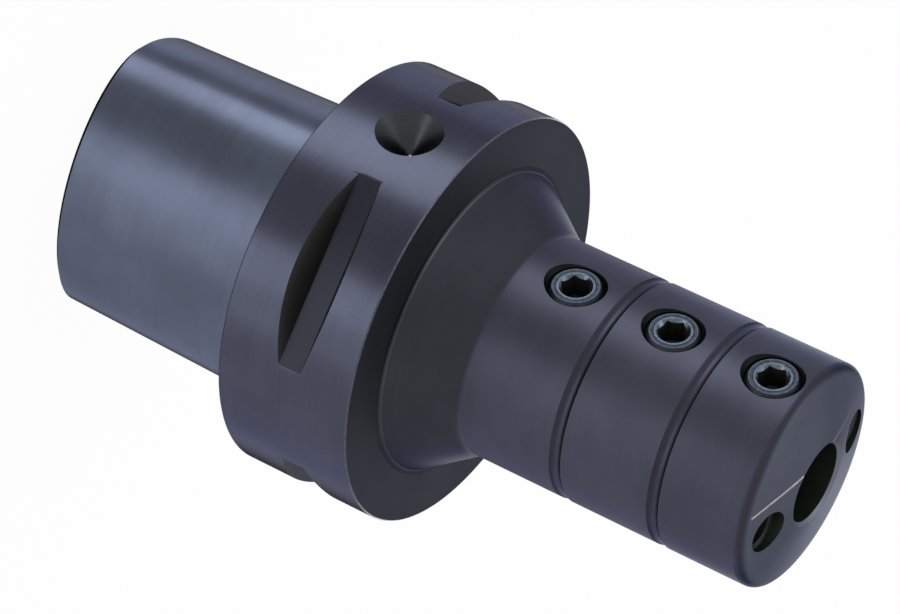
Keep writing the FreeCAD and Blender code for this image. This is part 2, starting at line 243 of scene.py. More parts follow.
# black oxide in each finish: lines says which way the tool marks run, and the rest is how strong they are;
# a finish says only what differs from the plain one
plainOxide = {"roughSpread": 0.06, "lines": "around", "linePitch": 0.22, "bump": 0.1}
oxideFinishes = {
    "groundOxide": {"base": (0.062, 0.07, 0.099), "tint": (0.05, 0.0548, 0.079), "edge": 0.55,
                    "rough": 0.31, "linePitch": 0.16, "bump": 0.18},
    "turnedRim": {"base": (0.0385, 0.0402, 0.0575), "tint": (0.032, 0.0327, 0.0465), "edge": 0.5,
                  "rough": 0.27, "roughSpread": 0.05},
    "turnedOxide": {"base": (0.0422, 0.0434, 0.0602), "tint": (0.035, 0.0352, 0.049), "edge": 0.48,
                    "rough": 0.44},
    "neckOxide": {"base": (0.0385, 0.0405, 0.05), "tint": (0.0315, 0.033, 0.041), "edge": 0.42,
                  "rough": 0.42},
    # a lighter oxide painted on part of the neck's root fillet as a highlight line
    "rootOxide": {"base": (0.056, 0.059, 0.069), "tint": (0.045, 0.0475, 0.056), "edge": 0.5,
                  "rough": 0.36, "bump": 0.08},
    "grooveOxide": {"base": (0.037, 0.0378, 0.052), "tint": (0.03, 0.0305, 0.0425), "edge": 0.44,
                    "rough": 0.42, "linePitch": 0.15},
    # a near-black oxide, a painted shade line along each groove's front edge
    "grooveEdgeShade": {"base": (0.008, 0.0082, 0.0105), "tint": (0.006, 0.0061, 0.008), "edge": 0.2,
                   "rough": 0.5, "linePitch": 0.15},
    "facedOxide": {"base": (0.047, 0.051, 0.059), "tint": (0.0385, 0.042, 0.0485), "edge": 0.52,
                   "rough": 0.56, "lines": "rings", "bump": 0.12},
    # the nose face; its rim colour is a painted shade over the rounding at its edge
    "noseFace": {"base": (0.102, 0.111, 0.141), "tint": (0.088, 0.096, 0.122), "edge": 0.38,
                 "rough": 0.4, "lines": "rings", "linePitch": 0.2,
                 "rim": (0.036, 0.0375, 0.05), "rimFrom": 15.7, "rimTo": 16.7},
    "boreLip": {"base": (0.15, 0.159, 0.196), "tint": (0.123, 0.131, 0.16), "edge": 0.46,
                "rough": 0.5, "lines": "rings", "linePitch": 0.2, "bump": 0.08},
    "ledgeOxide": {"base": (0.07, 0.076, 0.071), "tint": (0.056, 0.061, 0.057), "edge": 0.5,
                   "rough": 0.42, "lines": "rings", "linePitch": 0.2, "bump": 0.08},
    # one milled oxide in two tones: the slot floor painted darker as shade, the flanks lighter as lit faces
    "slotFloorShade": {"base": (0.024, 0.025, 0.0325), "tint": (0.0195, 0.0202, 0.026), "edge": 0.35,
                  "rough": 0.4, "linePitch": 0.4},
    "slotFlankLit": {"base": (0.054, 0.052, 0.053), "tint": (0.044, 0.0425, 0.043), "edge": 0.45,
                  "rough": 0.42, "linePitch": 0.4},
    "dimpleOxide": {"base": (0.043, 0.0455, 0.052), "tint": (0.034, 0.0365, 0.04), "edge": 0.42,
                    "rough": 0.34, "lines": "rings", "linePitch": 0.3},
    # the darkest oxide, a painted shade for hole walls and countersinks, also on the hidden rear edge breaks
    "shadeOxide": {"base": (0.012, 0.0125, 0.0135), "tint": (0.009, 0.0095, 0.01), "edge": 0.2,
                  "rough": 0.46, "linePitch": 0.3, "bump": 0.12},
    "cavityOxide": {"base": (0.047, 0.05, 0.059), "tint": (0.037, 0.0395, 0.0465), "edge": 0.42,
                    "rough": 0.44, "linePitch": 0.3, "bump": 0.14},
    "boredOxide": {"base": (0.05, 0.064, 0.05), "tint": (0.036, 0.047, 0.036), "edge": 0.4,
                   "rough": 0.48, "linePitch": 0.3, "bump": 0.14},
}


# how the oxide's patterns lie: marks per radian and in line pitches, cloud and speck per millimetre, and
# the shares of each in the tone, the roughness and the height
oxidePattern = {"fineTurn": 1.3, "broadTurn": 0.8, "broadPitches": 9, "broadSlice": 4.0, "cloud": 0.09,
                "speck": 3.0, "toneFrom": 0.35, "toneTo": 0.65, "toneShares": (0.6, 0.25, 0.15),
                "roughShares": (0.5, 0.3, 0.2), "heightShares": (0.6, 0.3, 0.1), "depth": 0.00006,
                "edgeBlue": 1.1}


def oxideMaterial(name):
    # tone is cloud, fine and broad marks added by their shares, and blends the tint into the base colour
    finish = {**plainOxide, **oxideFinishes[name]}
    pattern = oxidePattern
    material, board = newMaterial(name)
    x, y, z = board.spot()
    radius = (x * x + y * y) ** 0.5
    turn = board.math("ARCTAN2", y, x)
    alongMarks = {"around": z, "rings": radius}[finish["lines"]]
    # fine tool marks: noise stretched far along the marks and tight across them
    finePlace = board.vector(alongMarks / finish["linePitch"], turn * pattern["fineTurn"], 0.0)
    fine = board.noise(finePlace, 1.0, 2.0)
    broadPitch = finish["linePitch"] * pattern["broadPitches"]
    broadPlace = board.vector(alongMarks / broadPitch, turn * pattern["broadTurn"], pattern["broadSlice"])
    broad = board.noise(broadPlace, 1.0, 2.0)
    cloud = board.noise(board.vector(*[part * pattern["cloud"] for part in (x, y, z)]), 1.0, 4.0)
    speck = board.noise(board.vector(*[part * pattern["speck"] for part in (x, y, z)]), 1.0, 2.0)
    tone = board.smooth(weighted((cloud, fine, broad), pattern["toneShares"]), pattern["toneFrom"],
                        pattern["toneTo"])
    colour = board.blendColour(tone, rgba(*finish["tint"]), rgba(*finish["base"]))
    if "rim" in finish:
        # painted shade: the face's colour darkens over the rounding that ends it
        over = board.smooth(radius, finish["rimFrom"], finish["rimTo"])
        colour = board.blendColour(over, colour, rgba(*finish["rim"]))
    change = weighted((fine, cloud, speck), pattern["roughShares"]) - 0.5
    height = weighted((fine, broad, speck), pattern["heightShares"])
    edge = finish["edge"]
    finishMaterial(board, {"Base Color": colour, "Metallic": 1.0,
                           "Roughness": finish["rough"] + change * (2 * finish["roughSpread"]),
                           "Specular Tint": rgba(edge, edge, edge * pattern["edgeBlue"]),
                           "Normal": board.bump(finish["bump"], pattern["depth"], height)})
    return material


# bare or lightly coated steel: worn edge breaks, screw ends and the engraved line; also the painted glint at
# the dimple's tip, the painted highlight on the flange's front edge and the painted shade in the screw
# sockets
plainBright = {"metallic": 1.0}
brightFinishes = {
    # the flange's front edge break: lighter partly as wear and partly as a painted highlight
    "wornEdgeAndHighlight": {"base": (0.06, 0.064, 0.088), "worn": (0.09, 0.096, 0.125), "rough": 0.3},
    # a near-white finish on the dimple's flat tip: a painted glint
    "tipGlint": {"base": (0.55, 0.57, 0.62), "worn": (0.42, 0.44, 0.48), "rough": 0.35},
    "engravedLine": {"base": (0.72, 0.72, 0.76), "worn": (0.52, 0.52, 0.56),
                     "faded": (0.24, 0.245, 0.28), "metallic": 0.2, "rough": 0.55},
    "screwEnd": {"base": (0.056, 0.076, 0.102), "worn": (0.088, 0.114, 0.146), "rough": 0.28},
    "screwRing": {"base": (0.026, 0.028, 0.042), "worn": (0.042, 0.045, 0.064), "rough": 0.3},
    "screwCorner": {"base": (0.06, 0.078, 0.1), "worn": (0.12, 0.15, 0.18), "rough": 0.26},
    "screwOxide": {"base": (0.018, 0.02, 0.025), "worn": (0.03, 0.033, 0.04), "metallic": 0.9, "rough": 0.4},
    # a near-black, rough finish inside the hex sockets: painted shade
    "socketShade": {"base": (0.01, 0.01, 0.009), "worn": (0.018, 0.018, 0.016), "metallic": 0.5,
                    "rough": 0.6},
}


brightPattern = {"patches": 1.7, "patchContrast": 0.65, "wornFrom": 0.35, "wornTo": 0.65, "scratches": 9.0,
                 "scratchesAlong": 2.0, "fadeReach": 9.0, "roughSpread": 0.16, "bump": 0.12, "depth": 0.00005}


def brightMaterial(name):
    # patches of noise blend the worn colour into the base, and finer scratches change the roughness
    finish = {**plainBright, **brightFinishes[name]}
    pattern = brightPattern
    material, board = newMaterial(name)
    x, y, z = board.spot()
    spread = pattern["patches"]
    across = pattern["scratches"]
    patchPlace = board.vector(x * spread, y * spread, z * spread)
    patches = board.noise(patchPlace, 1.0, 4.0, pattern["patchContrast"])
    scratches = board.noise(board.vector(x * across, y * across, z * pattern["scratchesAlong"]), 1.0)
    colour = board.blendColour(board.smooth(patches, pattern["wornFrom"], pattern["wornTo"]),
                               rgba(*finish["base"]), rgba(*finish["worn"]))
    if "faded" in finish:
        # the paint in the line has worn thin toward one end
        reach = pattern["fadeReach"]
        colour = board.blendColour(board.smooth(y, -reach, reach), rgba(*finish["faded"]), colour)
    finishMaterial(board, {"Base Color": colour, "Metallic": finish["metallic"],
                           "Roughness": finish["rough"] + (scratches - 0.5) * pattern["roughSpread"],
                           "Normal": board.bump(pattern["bump"], pattern["depth"],
                                                scratches * 0.5 + patches * 0.5)})
    return material


rubberFinish = {"base": (0.016, 0.016, 0.017), "dusty": (0.030, 0.030, 0.031), "grain": 4.0, "dustFrom": 0.4,
                "dustTo": 0.7, "rough": 0.62, "roughSpread": 0.1, "bump": 0.1, "depth": 0.00003}


def rubberMaterial():
    # one noise, the grain, gives the dust, the roughness and the height
    finish = rubberFinish
    material, board = newMaterial("sealRubber")
    grain = board.noise(board.vector(*[part * finish["grain"] for part in board.spot()]), 1.0, 4.0)
    colour = board.blendColour(board.smooth(grain, finish["dustFrom"], finish["dustTo"]),
                               rgba(*finish["base"]), rgba(*finish["dusty"]))
    finishMaterial(board, {"Base Color": colour,
                           "Roughness": finish["rough"] + (grain - 0.5) * finish["roughSpread"],
                           "Normal": board.bump(finish["bump"], finish["depth"], grain)})
    return material


materials = {name: oxideMaterial(name) for name in oxideFinishes}
materials.update({name: brightMaterial(name) for name in brightFinishes})
materials["sealRubber"] = rubberMaterial()
print("materials", len(materials))


# mesh tools
sharpAngle = 28.0


def sharpShaded(mesh):
    # smooth faces, with an edge wherever two of them meet at more than the sharp angle
    mesh.polygons.foreach_set("use_smooth", np.ones(len(mesh.polygons), dtype=bool))
    mesh.set_sharp_from_angle(angle=math.radians(sharpAngle))
    mesh.update()


def linkedObject(name, data):
    made = bpy.data.objects.new(name, data)
    bpy.context.scene.collection.objects.link(made)
    return made


def meshObject(name, points, faces, faceTags):
    # points are in millimetres, faces are index lists, and every face has the name of its material
    materialNames = list(dict.fromkeys(faceTags))
    mesh = bpy.data.meshes.new(name)
    mesh.from_pydata((np.asarray(points) * mm).tolist(), [], faces)
    for materialName in materialNames:
        mesh.materials.append(materials[materialName])
    numbers = {materialName: number for number, materialName in enumerate(materialNames)}
    mesh.polygons.foreach_set("material_index", np.array([numbers[tag] for tag in faceTags], dtype=np.int32))
    sharpShaded(mesh)
    return linkedObject(name, mesh)


def ringSurface(rings, loop=False):
    # quads join each ring to the next; a loop joins the last to the first, and otherwise
    # a fan to the ring's centre closes each end; the enclosed volume says which way faces point
    ringCount, segments = rings.shape[:2]
    index = np.arange(ringCount * segments).reshape(ringCount, segments)
    nextRing = np.roll(index, -1, axis=0)
    quads = np.stack([index, np.roll(index, -1, axis=1), np.roll(nextRing, -1, axis=1), nextRing], axis=2)
    bands = np.repeat(np.arange(ringCount), segments)
    points = rings.reshape(-1, 3)
    faces = quads.reshape(-1, 4)
    fans = np.zeros((0, 3), dtype=int)
    fanBands = np.zeros(0, dtype=int)
    if not loop:
        faces = faces[:-segments]
        bands = bands[:-segments]
        centres = np.array([rings[0].mean(axis=0), rings[-1].mean(axis=0)])
        first = np.stack([np.roll(index[0], -1), index[0], np.full(segments, len(points))], axis=1)
        last = np.stack([index[-1], np.roll(index[-1], -1), np.full(segments, len(points) + 1)], axis=1)
        points = np.vstack([points, centres])
        fans = np.vstack([first, last])
        fanBands = np.repeat([0, ringCount - 2], segments)
    triangles = np.vstack([faces[:, [0, 1, 2]], faces[:, [0, 2, 3]], fans])
    corners = points[triangles]
    volume = np.einsum("ij,ij->", corners[:, 0], np.cross(corners[:, 1], corners[:, 2]))
    if volume < 0:
        faces = faces[:, ::-1]
        fans = fans[:, ::-1]
    return points, faces.tolist() + fans.tolist(), np.concatenate([bands, fanBands])


def ringPiece(name, rings, tags, loop=False):
    # a piece skinned over its rings; each tag is the finish from its ring to the next
    points, faces, bands = ringSurface(rings, loop)
    return meshObject(name, points, faces, [tags[band] for band in bands])


def roundedProfile(corners, longestSpan, arcSteps):
    # corners are (radius, height, finish, rounding, arc finish); a rounding is replaced by its tangent
    # arc, whose own finish covers the shares named with it, and long straight runs are divided evenly
    points = []
    tags = []
    count = len(corners)
    spots = np.array([corner[:2] for corner in corners], dtype=float)
    for index, corner in enumerate(corners):
        rounding = corner[3] if len(corner) > 3 else 0.0
        here = spots[index]
        if rounding:
            before = spots[index - 1] - here
            after = spots[(index + 1) % count] - here
            before /= np.linalg.norm(before)
            after /= np.linalg.norm(after)
            half = math.acos(float(before @ after)) / 2
            inward = (before + after) / np.linalg.norm(before + after)
            centre = here + inward * rounding / math.sin(half)
            start = here + before * rounding / math.tan(half) - centre
            end = here + after * rounding / math.tan(half) - centre
            sweep = math.pi - 2 * half
            share = np.linspace(0, 1, arcSteps + 1)[:, None]
            arc = (np.sin((1 - share) * sweep) * start + np.sin(share * sweep) * end) / math.sin(sweep)
            points += (centre + arc).tolist()
            own, first, last = corner[4] if len(corner) > 4 else (corner[2], 0.0, 0.0)
            tags += [own if first <= part < last else corner[2] for part in share[:, 0]]
        else:
            points.append(here.tolist())
            tags.append(corner[2])
    return dividedRuns(np.array(points), tags, longestSpan)


def dividedRuns(points, tags, longestSpan):
    # each run is cut into the fewest equal parts that are no longer than the longest span
    following = np.roll(points, -1, axis=0)
    counts = np.maximum(1, np.ceil(np.linalg.norm(following - points, axis=1) / longestSpan)).astype(int)
    owner = np.repeat(np.arange(len(points)), counts)
    within = np.arange(len(owner)) - np.repeat(np.cumsum(counts) - counts, counts)
    share = (within / counts[owner])[:, None]
    return points[owner] * (1 - share) + following[owner] * share, [tags[index] for index in owner]


def grooveProfile(height):
    # a shallow arc cut into the nose: the circle through both edges and the deepest point
    half = bodySizes["grooveWidth"] / 2
    depth = bodySizes["grooveDepth"]
    radius = (half ** 2 + depth ** 2) / (2 * depth)
    offsets = np.linspace(-half, half, bodySizes["arcSteps"] + 1)
    radii = noseR - depth + radius - np.sqrt(radius ** 2 - offsets ** 2)
    # the groove's last narrow step is the painted shade line at its front edge
    tags = ["grooveOxide"] * (len(radii) - 2) + ["grooveEdgeShade", "turnedOxide"]
    return [(r, height + z, tag) for r, z, tag in zip(radii, offsets, tags)]


def noseProfile():
    # corners from the contact face's edge over the flange, neck, nose and face into the tool bore
    breakSize = bodySizes["edgeBreak"]
    width = bodySizes["flangeWidth"]
    neckR = bodySizes["neckBaseDiameter"] / 2
    neckTop = width + (neckR - noseR) / tanOf(bodySizes["neckHalfAngle"])
    shade = ("neckOxide", *bodySizes["neckTopShade"])
    profile = [
        # the contact face's edge break takes the painted shade finish
        (flangeR - breakSize, 0, "shadeOxide"),
        (flangeR, breakSize, "turnedRim"),
        # the front edge break, lighter partly as wear and partly as a painted highlight
        (flangeR, width - breakSize, "wornEdgeAndHighlight"),
        (flangeR - breakSize, width, "facedOxide"),
        # the root fillet's middle shares carry the painted highlight
        (neckR, width, "neckOxide", bodySizes["neckRootRadius"], ("rootOxide", *bodySizes["rootShine"])),
        (noseR, neckTop, "turnedOxide", bodySizes["neckTopRadius"], shade),
    ]
    for height in grooveHeights:
        profile += grooveProfile(height)
    profile += [
        (noseR, faceHeight(noseR), "noseFace", bodySizes["rimRadius"]),
        (mouthR, noseReach, "boreLip"),
        (boreR, noseReach - bodySizes["boreMouthChamfer"], "boredOxide"),
    ]
    return profile


def cavityProfile():
    # the bores on the axis, from the tool bore's floor back to the shank's end
    sealR = bodySizes["stopThreadDiameter"] / 2 + bodySizes["sealBoreStep"]
    stopR = bodySizes["stopThreadDiameter"] / 2
    ductR = stopR - bodySizes["stopSeatStep"]
    sealStart = boreFloor - bodySizes["sealBoreDepth"]
    threadR = bodySizes["centreThreadDiameter"] / 2
    floor = bodySizes["cavityFloor"]
    threadEnd = floor + bodySizes["centreThreadLength"]
    point = (threadR - ductR) / tanOf(bodySizes["drillPointAngle"] / 2)
    drawbarR = bodySizes["drawbarBoreDiameter"] / 2
    grooveEnd = floor - bodySizes["segmentGrooveToFloor"]
    grooveStart = grooveEnd - bodySizes["segmentGrooveWidth"]
    step = bodySizes["segmentGrooveDepth"]
    chamfer = bodySizes["boreFloorChamfer"]
    lead = bodySizes["centreThreadChamfer"]
    mouth = bodySizes["drawbarMouthChamfer"]
    rear = -bodySizes["shankLength"]
    spots = [
        (boreR, boreFloor),
        (sealR + chamfer / 2, boreFloor),
        (sealR, boreFloor - chamfer),
        (sealR, sealStart),
        (stopR, sealStart),
        (stopR, bodySizes["stopThreadStart"]),
        (ductR, bodySizes["stopThreadStart"]),
        (ductR, threadEnd + point),
        (threadR, threadEnd),
        (threadR, floor + lead),
        (threadR + lead, floor),
        (drawbarR, floor),
        (drawbarR, grooveEnd),
        (drawbarR + step, grooveEnd - step),
        (drawbarR + step, grooveStart + step),
        (drawbarR, grooveStart),
        (drawbarR, rear + mouth),
        (drawbarR + mouth, rear),
    ]
    return [(r, z, "cavityOxide") for r, z in spots]


def circleRings(profile, angles):
    # every (radius, height) of the profile becomes a circle, begun on the side of minus X
    radii = profile[:, 0][:, None]
    heights = np.broadcast_to(profile[:, 1][:, None], (len(profile), len(angles)))
    return np.stack([-radii * np.cos(angles), -radii * np.sin(angles), heights], axis=2)


def polygonRing(meanDiameter, height, angles):
    # three-lobed curve of the polygon taper: a circle plus its second and fourth harmonics
    e = bodySizes["shankEccentricity"]
    x = meanDiameter / 2 * np.cos(angles) - 2 * e * np.cos(2 * angles) + e * np.cos(4 * angles)
    y = meanDiameter / 2 * np.sin(angles) + 2 * e * np.sin(2 * angles) + e * np.sin(4 * angles)
    return np.stack([-x, -y, np.full(len(angles), height)], axis=1)


def shankRings(angles):
    # from the rear end forward: end face edge, chamfer, then the taper up to the contact plane
    chamfer = bodySizes["shankEndChamfer"]
    length = bodySizes["shankLength"]
    heights = np.concatenate([[-length], np.linspace(chamfer - length, 0, bodySizes["shankRings"])])
    diameters = bodySizes["shankMeanDiameter"] + heights * bodySizes["shankTaper"]
    diameters[0] = diameters[1] - 2 * chamfer
    rings = np.array([polygonRing(d, z, angles) for d, z in zip(diameters, heights)])
    # the end chamfer takes the painted shade finish
    return rings, ["shadeOxide"] + ["groundOxide"] * (bodySizes["shankRings"] - 1) + ["facedOxide"]


def bodyShell():
    # the shank's rings, then the circles forward over the nose and back through the bores, in one loop
    angles = turnAngles(bodySizes["segments"])
    shank, shankTags = shankRings(angles)
    corners = noseProfile() + cavityProfile()
    profile, tags = roundedProfile(corners, bodySizes["longestSpan"], bodySizes["arcSteps"])
    # the last run would close the circles among themselves, so it is cut back to the cavity's mouth
    last = int(np.flatnonzero(np.abs(profile - np.array(corners[-1][:2])).max(axis=1) < 1e-9)[-1])
    rings = np.concatenate([shank, circleRings(profile[:last + 1], angles)])
    return ringPiece("holderBody", rings, shankTags + tags[:last] + ["facedOxide"], loop=True)


def turnedAbout(profile, origin, direction, segments, finishes):
    # a closed turned cutter: (radius, distance) pairs carried round an axis through the origin, with a
    # finish for each run between them
    axis = Vector(direction).normalized()
    side = axis.orthogonal().normalized()
    other = axis.cross(side)
    angles = turnAngles(segments)
    spread = np.cos(angles)[:, None] * np.array(side) + np.sin(angles)[:, None] * np.array(other)
    spots = np.array(profile, dtype=float)
    rings = (np.array(origin) + spots[:, 1][:, None, None] * np.array(axis)
             + spots[:, 0][:, None, None] * spread[None])
    points, faces, bands = ringSurface(rings)
    return points, faces, [finishes[band] for band in bands]


def straightAlong(rings, finish):
    # a closed cutter of one finish through the given rings
    points, faces, bands = ringSurface(rings)
    return points, faces, [finish] * len(faces)


def slotCutter(index):
    # a wedge-shaped bar laid across the rim: floor and flanks in section, straight along its length
    angle = math.radians(slotSizes["firstAngle"] + index * 360 / slotSizes["count"])
    outward = np.array([math.cos(angle), math.sin(angle), 0.0])
    along = np.array([-math.sin(angle), math.cos(angle), 0.0])
    floor = flangeR - slotSizes["depth"]
    outside = flangeR + slotSizes["outside"]
    half = slotSizes["floorWidth"] / 2
    wide = half + (outside - floor) * tanOf(slotSizes["flankAngle"])
    section = [(floor, -half), (outside, -wide), (outside, wide), (floor, half)]
    ends = np.array([-slotSizes["halfLength"], slotSizes["halfLength"]])
    rings = np.array([[outward * u + along * end + [0, 0, slotSizes["centre"] + w] for u, w in section]
                      for end in ends])
    # the flanks take the lighter, painted lit tone and the floor the darker, painted shade
    points, faces, finishes = straightAlong(rings, "slotFlankLit")
    finishes[len(section) - 1] = "slotFloorShade"
    return points, faces, finishes


def dimpleCutter():
    # a cone on a small flat tip, turned about the drive hole's axis; the tip and the cone's first short band
    # are painted near white as a glint
    slope = tanOf(dimpleSizes["coneAngle"] / 2)
    tip = dimpleSizes["tipDiameter"] / 2
    depth = (dimpleSizes["diameter"] / 2 - tip) / slope
    reach = depth + dimpleSizes["outside"]
    spot = dimpleSizes["tipGlint"]
    return turnedAbout([(tip, 0), (tip + spot * slope, spot), (tip + reach * slope, reach)],
                       (flangeR - depth, 0, slotSizes["centre"]), (1, 0, 0), dimpleSizes["segments"],
                       ["tipGlint", "dimpleOxide"])


def clampHoleCutter(height):
    # a rod with a countersink where it meets the nose, turned about the screw's axis
    r = clampHoleSizes["diameter"] / 2
    wide = clampHoleSizes["countersink"] / 2
    outside = noseR + clampHoleSizes["outside"]
    # its wall and countersink carry the painted shade
    return turnedAbout([(r, 0), (r, noseR + r - wide), (wide, noseR), (wide, outside)], (0, 0, height),
                       (1, 0, 0), clampHoleSizes["segments"], ["shadeOxide"] * 3)


def coolantHoleCutter(side):
    # duct, thread and mouth in one stepped rod, with a sloping ledge between the last two
    ledge = faceHeight(coolantR) - coolantHoleSizes["mouthDepth"]
    threadEnd = ledge - coolantHoleSizes["threadLength"]
    mouth = coolantHoleSizes["mouthDiameter"] / 2
    thread = coolantHoleSizes["threadDiameter"] / 2
    duct = coolantHoleSizes["ductDiameter"] / 2
    outside = noseReach + coolantHoleSizes["outside"]
    profile = [(duct, gallerySizes["height"]), (duct, threadEnd), (thread, threadEnd), (thread, ledge),
               (mouth, ledge + coolantHoleSizes["ledgeSlope"]), (mouth, outside)]
    return turnedAbout(profile, (0, side * coolantR, 0), (0, 0, 1), coolantHoleSizes["segments"],
                       ["boredOxide"] * 3 + ["ledgeOxide", "boredOxide"])


def galleryCutter():
    # the countersunk thread and the duct behind it, in from the rim and past the far coolant hole
    duct = gallerySizes["diameter"] / 2
    thread = gallerySizes["threadDiameter"] / 2
    wide = gallerySizes["countersink"] / 2
    end = flangeR + coolantR + coolantHoleSizes["ductDiameter"] / 2 + gallerySizes["runOut"]
    threadEnd = gallerySizes["threadLength"]
    profile = [(wide, -gallerySizes["outside"]), (wide, 0), (thread, wide - thread), (thread, threadEnd),
               (duct, threadEnd), (duct, end)]
    # its countersink, thread and duct carry the painted shade
    return turnedAbout(profile, (0, -flangeR, gallerySizes["height"]), (0, 1, 0), gallerySizes["segments"],
                       ["shadeOxide"] * 5)


def lineCutter():
    # a thin strip just under the nose face, following its cone from rim to rim
    half = lineSizes["width"] / 2
    outer = noseR - bodySizes["rimRadius"] + lineSizes["rimMargin"]
    reach = math.sqrt(outer ** 2 - lineSizes["offset"] ** 2)
    y = np.linspace(-reach, reach, lineSizes["steps"])
    sides = np.array([lineSizes["offset"] - half, lineSizes["offset"] + half])
    floor = np.stack([faceHeight(np.hypot(side, y)) - lineSizes["depth"] for side in sides], axis=1)
    top = np.full_like(floor, noseReach + lineSizes["outside"])
    x = np.broadcast_to(sides, floor.shape)
    wide = np.repeat(y[:, None], 2, axis=1)
    low = np.stack([x, wide, floor], axis=2)
    high = np.stack([x, wide, top], axis=2)[:, ::-1]
    return straightAlong(np.concatenate([low, high], axis=1), "engravedLine")


def joined(parts):
    # cutters that don't touch each other, in one mesh
    points = np.vstack([part[0] for part in parts])
    starts = np.cumsum([0] + [len(part[0]) for part in parts[:-1]])
    faces = [[index + start for index in face] for part, start in zip(parts, starts) for face in part[1]]
    return points, faces, [finish for part in parts for finish in part[2]]


def cutAway(piece, cutter):
    # the piece less the cutter, whose finishes come along with its faces
    tool = meshObject("cutter", *cutter)
    cut = piece.modifiers.new("cut", "BOOLEAN")
    cut.operation = "DIFFERENCE"
    cut.solver = "EXACT"
    cut.material_mode = "TRANSFER"
    cut.object = tool
    bpy.context.view_layer.update()
    shaped = bpy.data.meshes.new_from_object(piece.evaluated_get(bpy.context.evaluated_depsgraph_get()))
    piece.modifiers.clear()
    old = piece.data
    piece.data = shaped
    bpy.data.meshes.remove(old)
    bpy.data.objects.remove(tool)


def closeSlivers(piece):
    # the cuts leave some edges shorter than a thousandth of a millimetre: each is drawn into one point
    shaped = bmesh.new()
    shaped.from_mesh(piece.data)
    bmesh.ops.dissolve_degenerate(shaped, dist=bodySizes["shortestEdge"] * mm, edges=shaped.edges[:])
    shaped.to_mesh(piece.data)
    shaped.free()


body = bodyShell()
print("body shell", len(body.data.polygons))
cutAway(body, joined([slotCutter(index) for index in range(slotSizes["count"])]))
cutAway(body, dimpleCutter())
cutAway(body, joined([clampHoleCutter(height) for height in screwHeights]))
cutAway(body, joined([coolantHoleCutter(1), coolantHoleCutter(-1)]))
cutAway(body, galleryCutter())
cutAway(body, lineCutter())
closeSlivers(body)
body.data.name = "holderBody"
sharpShaded(body.data)
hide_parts("holder_body")
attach(body, "holder")
print("body", len(body.data.polygons), [material.name for material in body.data.materials])


# headless socket screws; each dictionary gives one kind, with the same sizes as its solid
clampScrew = {"diameter": 7.9, "length": 10.0, "pitch": 1.25, "threadDepth": 0.55, "flats": 4.0,
              "socketDepth": 4.0, "endChamfer": 0.5, "cup": 5.0, "cupDepth": 0.8, "recess": 0.4,
              "segments": 96, "stepsPerTurn": 12}
coolantPlug = {"diameter": 4.9, "length": 6.0, "pitch": 0.8, "threadDepth": 0.35, "flats": 2.5,
               "socketDepth": 2.5, "endChamfer": 0.4, "cup": 2.6, "cupDepth": 0.5, "recess": 0.9,
               "segments": 72, "stepsPerTurn": 12, "spin": 20.0}
galleryPlug = {"diameter": 7.9, "length": 7.0, "pitch": 1.0, "threadDepth": 0.5, "flats": 4.0,
               "socketDepth": 4.0, "endChamfer": 0.5, "cup": 5.0, "cupDepth": 0.8, "recess": 1.0,
               "segments": 96, "stepsPerTurn": 12, "spin": 15.0}
clampSpins = {"rear": 8.0, "middle": 24.0, "front": 12.0}
stopScrew = {"stemDiameter": 9.9, "headDiameter": 10.5, "rear": 15.0, "shoulder": 26.6, "front": 32.6,
             "pitch": 1.0, "threadDepth": 0.5, "threadGap": 0.6, "grooveFrom": 28.1, "grooveWidth": 1.9,
             "grooveDiameter": 7.8, "flats": 4.0, "socketDepth": 4.0, "hole": 3.0, "chamfer": 0.5,
             "cornerBreak": 0.1, "segments": 96, "stepsPerTurn": 12}
sealRing = {"middle": 29.05, "ringRadius": 4.65, "section": 1.4, "flash": 0.02, "flashSharpness": 40,
            "steps": 24, "segments": 120}
# what the socket screws share: shares of the socket or of the end face, depths, and the thread's wave
screwForm = {"pointDepth": 0.22, "pointTip": 0.08, "pointRim": 0.94, "floorRound": 0.1, "wallFrom": 0.25,
             "wallTo": 0.85, "wallRings": 3, "cornerBreak": 0.12, "ringFrom": 0.80, "ringFloor": 0.82,
             "ringTo": 0.84, "ringDepth": 0.06, "edgeHighlightFrom": 0.96, "edgeHighlightTo": 0.985, "edgeDrop": 0.03,
             "chamferDrop": 0.04, "threadGap": 0.1, "cupTip": 0.1}
threadWave = {"slope": 2.6, "flat": 0.5, "fadePitches": 0.5}


def hexRadius(flats, angles):
    # distance from the centre to a hexagon's side at each angle, with a corner at angle 0
    turned = np.mod(angles, tau / 6) - tau / 12
    return flats / 2 / np.cos(turned)


def levelRing(radii, height, segments):
    # a ring about Z with one radius or height for all its points, or one for each
    angles = turnAngles(segments)
    level = np.broadcast_to(np.asarray(height, dtype=float), (segments,))
    wide = np.broadcast_to(np.asarray(radii, dtype=float), (segments,))
    return np.stack([wide * np.cos(angles), wide * np.sin(angles), level], axis=1)


def ringsOf(rows, segments):
    # every (radius, height, finish) becomes a level ring
    return [levelRing(row[0], row[1], segments) for row in rows], [row[2] for row in rows]


def threadRings(kind, crest, low, high):
    # level rings down the thread, a fixed number to each turn; their radii are a helical wave of rounded
    # crests and roots that shifts by one pitch in a turn and fades in behind the front end
    segments = kind["segments"]
    pitch = kind["pitch"]
    heights = np.linspace(high, low, int((high - low) / pitch * kind["stepsPerTurn"]))
    phase = np.mod(heights[:, None] / pitch - turnAngles(segments)[None] / tau, 1.0)
    flank = np.clip(np.abs(phase - 0.5) * threadWave["slope"] - threadWave["flat"], 0.0, 1.0)
    wave = flank * flank * (3 - 2 * flank)
    fade = np.clip((high - heights) / (threadWave["fadePitches"] * pitch), 0.0, 1.0)[:, None]
    radii = crest - kind["threadDepth"] * wave * fade
    return [levelRing(*ring, segments) for ring in zip(radii, heights)], ["screwOxide"] * len(heights)


def hexagonOf(kind):
    # the socket's radius at every angle, and the distance to its corners
    return hexRadius(kind["flats"], turnAngles(kind["segments"])), kind["flats"] / 2 / math.cos(tau / 12)


